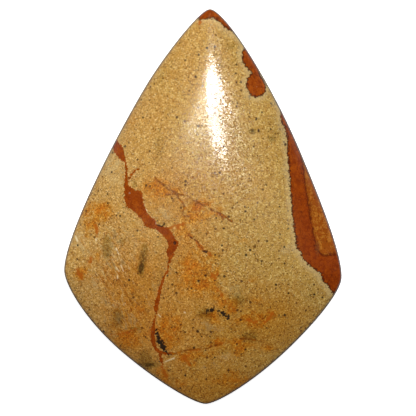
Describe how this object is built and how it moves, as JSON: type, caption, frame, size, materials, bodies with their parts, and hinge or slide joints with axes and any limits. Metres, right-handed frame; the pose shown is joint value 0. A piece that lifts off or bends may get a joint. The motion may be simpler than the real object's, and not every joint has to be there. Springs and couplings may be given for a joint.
{
  "type": "picture jasper cabochon",
  "caption": "Polished domed stone with a kite outline and a flat back, sandy brown with rust veins, for jewellery or display.",
  "frame": {"origin": "on the flat back, at the middle of the outline's bounding box", "axes": "+X across the stone, +Y along the stone towards the narrow tip, +Z out of the polished dome"},
  "size_m": [0.0324, 0.0462, 0.006],
  "materials": {
    "jasper": "polished"
  },
  "bodies": {
    "root": {"picture_jasper": "jasper"}
  },
  "joints": []
}
